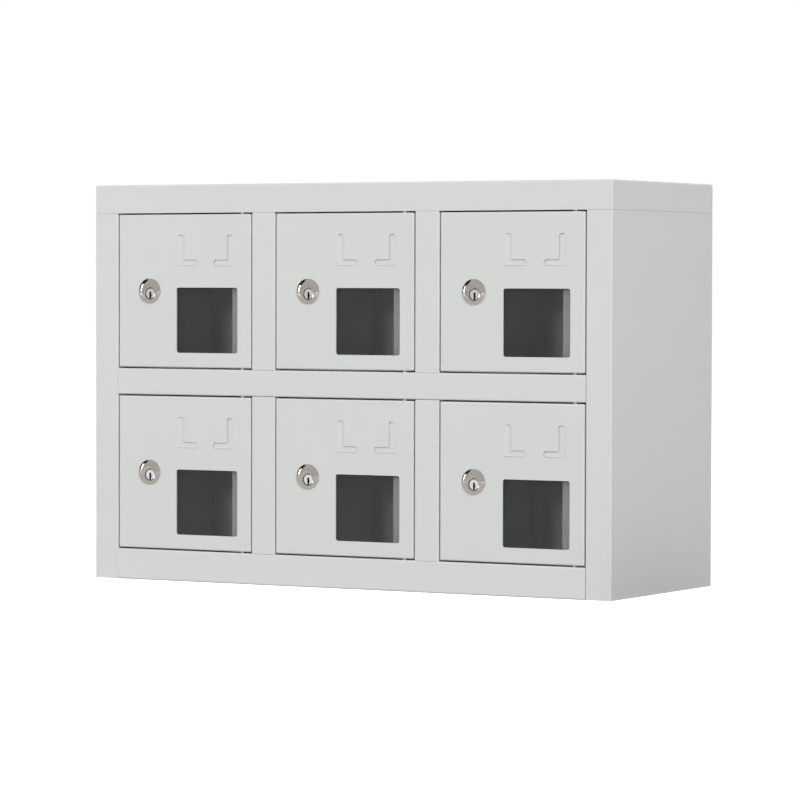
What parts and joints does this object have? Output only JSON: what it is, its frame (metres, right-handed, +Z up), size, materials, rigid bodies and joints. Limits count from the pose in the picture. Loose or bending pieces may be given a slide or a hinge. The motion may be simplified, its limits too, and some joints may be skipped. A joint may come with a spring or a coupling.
{
  "type": "phone locker",
  "caption": "Steel phone locker with rows of small flush doors, each with a card guide, a cam lock and a clear window.",
  "frame": {"origin": "centre of the carcass's underside, on the surface it stands on", "axes": "+X to the right along the front, +Y from the doors to the back, +Z up"},
  "size_m": [0.515, 0.197, 0.35],
  "materials": {
    "frame_coat": "light-grey powder coat, satin",
    "door_coat": "light-grey powder coat, satin",
    "clear_plastic": "clear polished acrylic",
    "lock_nickel": "polished nickel rim, satin face",
    "plug_chrome": "bright chrome",
    "zinc_plate": "zinc-plated steel"
  },
  "bodies": {
    "frame": {"top_cap": "frame_coat", "left_side_panel": "frame_coat", "right_side_panel": "frame_coat", "bottom_pan": "frame_coat", "middle_shelf": "frame_coat", "back_panel": "frame_coat", "lower_left_partition": "frame_coat", "lower_middle_partition": "frame_coat", "upper_left_partition": "frame_coat", "upper_middle_partition": "frame_coat", "hinge_pins": "zinc_plate"},
    "lower_left_door": {"lower_left_door_panel": "door_coat", "lower_left_window_pane": "clear_plastic", "lower_left_pane_retainers": "door_coat", "lower_left_lock_housing": "lock_nickel", "lower_left_lock_nut": "zinc_plate"},
    "lower_left_lock": {"lower_left_lock_plug": "plug_chrome", "lower_left_lock_cam": "zinc_plate", "lower_left_cam_screw": "zinc_plate"},
    "lower_middle_door": {"lower_middle_door_panel": "door_coat", "lower_middle_window_pane": "clear_plastic", "lower_middle_pane_retainers": "door_coat", "lower_middle_lock_housing": "lock_nickel", "lower_middle_lock_nut": "zinc_plate"},
    "lower_middle_lock": {"lower_middle_lock_plug": "plug_chrome", "lower_middle_lock_cam": "zinc_plate", "lower_middle_cam_screw": "zinc_plate"},
    "lower_right_door": {"lower_right_door_panel": "door_coat", "lower_right_window_pane": "clear_plastic", "lower_right_pane_retainers": "door_coat", "lower_right_lock_housing": "lock_nickel", "lower_right_lock_nut": "zinc_plate"},
    "lower_right_lock": {"lower_right_lock_plug": "plug_chrome", "lower_right_lock_cam": "zinc_plate", "lower_right_cam_screw": "zinc_plate"},
    "upper_left_door": {"upper_left_door_panel": "door_coat", "upper_left_window_pane": "clear_plastic", "upper_left_pane_retainers": "door_coat", "upper_left_lock_housing": "lock_nickel", "upper_left_lock_nut": "zinc_plate"},
    "upper_left_lock": {"upper_left_lock_plug": "plug_chrome", "upper_left_lock_cam": "zinc_plate", "upper_left_cam_screw": "zinc_plate"},
    "upper_middle_door": {"upper_middle_door_panel": "door_coat", "upper_middle_window_pane": "clear_plastic", "upper_middle_pane_retainers": "door_coat", "upper_middle_lock_housing": "lock_nickel", "upper_middle_lock_nut": "zinc_plate"},
    "upper_middle_lock": {"upper_middle_lock_plug": "plug_chrome", "upper_middle_lock_cam": "zinc_plate", "upper_middle_cam_screw": "zinc_plate"},
    "upper_right_door": {"upper_right_door_panel": "door_coat", "upper_right_window_pane": "clear_plastic", "upper_right_pane_retainers": "door_coat", "upper_right_lock_housing": "lock_nickel", "upper_right_lock_nut": "zinc_plate"},
    "upper_right_lock": {"upper_right_lock_plug": "plug_chrome", "upper_right_lock_cam": "zinc_plate", "upper_right_cam_screw": "zinc_plate"}
  },
  "joints": [
    {"name": "lower_left_door_hinge", "type": "hinge", "parent": "frame", "child": "lower_left_door", "pos_m": [-0.1052, -0.093, 0.09575], "axis": [0, 0, 1], "range_deg": [0, 110]},
    {"name": "lower_left_lock_turn", "type": "hinge", "parent": "lower_left_door", "child": "lower_left_lock", "pos_m": [-0.1989, -0.0975, 0.09345], "axis": [0, 1, 0], "range_deg": [0, 90]},
    {"name": "lower_middle_door_hinge", "type": "hinge", "parent": "frame", "child": "lower_middle_door", "pos_m": [0.0583, -0.093, 0.09575], "axis": [0, 0, 1], "range_deg": [0, 110]},
    {"name": "lower_middle_lock_turn", "type": "hinge", "parent": "lower_middle_door", "child": "lower_middle_lock", "pos_m": [-0.0354, -0.0975, 0.09345], "axis": [0, 1, 0], "range_deg": [0, 90]},
    {"name": "lower_right_door_hinge", "type": "hinge", "parent": "frame", "child": "lower_right_door", "pos_m": [0.2218, -0.093, 0.09575], "axis": [0, 0, 1], "range_deg": [0, 110]},
    {"name": "lower_right_lock_turn", "type": "hinge", "parent": "lower_right_door", "child": "lower_right_lock", "pos_m": [0.1281, -0.0975, 0.09345], "axis": [0, 1, 0], "range_deg": [0, 90]},
    {"name": "upper_left_door_hinge", "type": "hinge", "parent": "frame", "child": "upper_left_door", "pos_m": [-0.1052, -0.093, 0.25625], "axis": [0, 0, 1], "range_deg": [0, 110]},
    {"name": "upper_left_lock_turn", "type": "hinge", "parent": "upper_left_door", "child": "upper_left_lock", "pos_m": [-0.1989, -0.0975, 0.25395], "axis": [0, 1, 0], "range_deg": [0, 90]},
    {"name": "upper_middle_door_hinge", "type": "hinge", "parent": "frame", "child": "upper_middle_door", "pos_m": [0.0583, -0.093, 0.25625], "axis": [0, 0, 1], "range_deg": [0, 110]},
    {"name": "upper_middle_lock_turn", "type": "hinge", "parent": "upper_middle_door", "child": "upper_middle_lock", "pos_m": [-0.0354, -0.0975, 0.25395], "axis": [0, 1, 0], "range_deg": [0, 90]},
    {"name": "upper_right_door_hinge", "type": "hinge", "parent": "frame", "child": "upper_right_door", "pos_m": [0.2218, -0.093, 0.25625], "axis": [0, 0, 1], "range_deg": [0, 110]},
    {"name": "upper_right_lock_turn", "type": "hinge", "parent": "upper_right_door", "child": "upper_right_lock", "pos_m": [0.1281, -0.0975, 0.25395], "axis": [0, 1, 0], "range_deg": [0, 90]}
  ]
}
